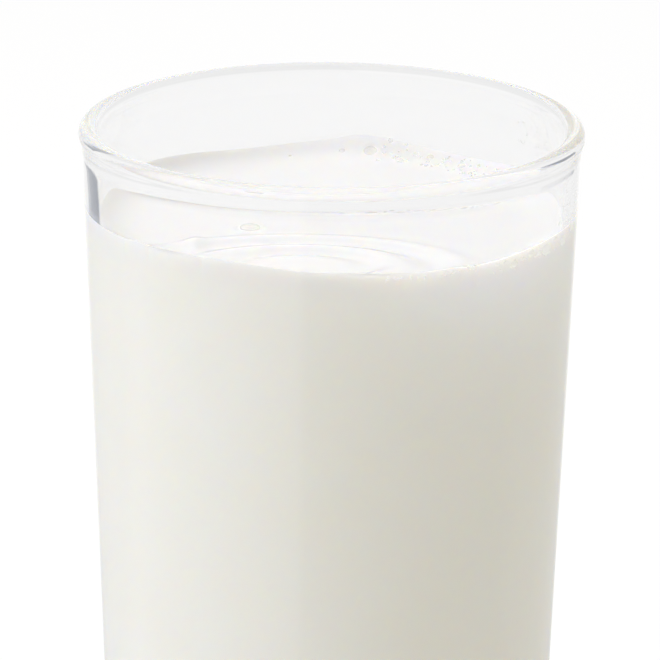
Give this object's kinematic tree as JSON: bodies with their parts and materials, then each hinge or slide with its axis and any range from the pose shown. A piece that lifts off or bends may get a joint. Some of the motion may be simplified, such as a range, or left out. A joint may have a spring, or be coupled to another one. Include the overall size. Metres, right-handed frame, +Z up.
{
  "type": "glass of milk",
  "caption": "Plain round tumbler with a beaded rim, tapered straight wall and thick foot, filled with milk to just below the rim.",
  "frame": {"origin": "middle of the foot, on the surface that the glass stands on", "axes": "+Z up along the tumbler's axis of revolution; X and Y are any two square directions across it, with the front towards -Y"},
  "size_m": [0.072, 0.072, 0.128],
  "materials": {
    "glass": "fire-polished clear soda-lime glass",
    "milk": "smooth wet liquid surface, creamy white"
  },
  "bodies": {
    "root": {"glass": "glass", "milk": "milk"}
  },
  "joints": []
}
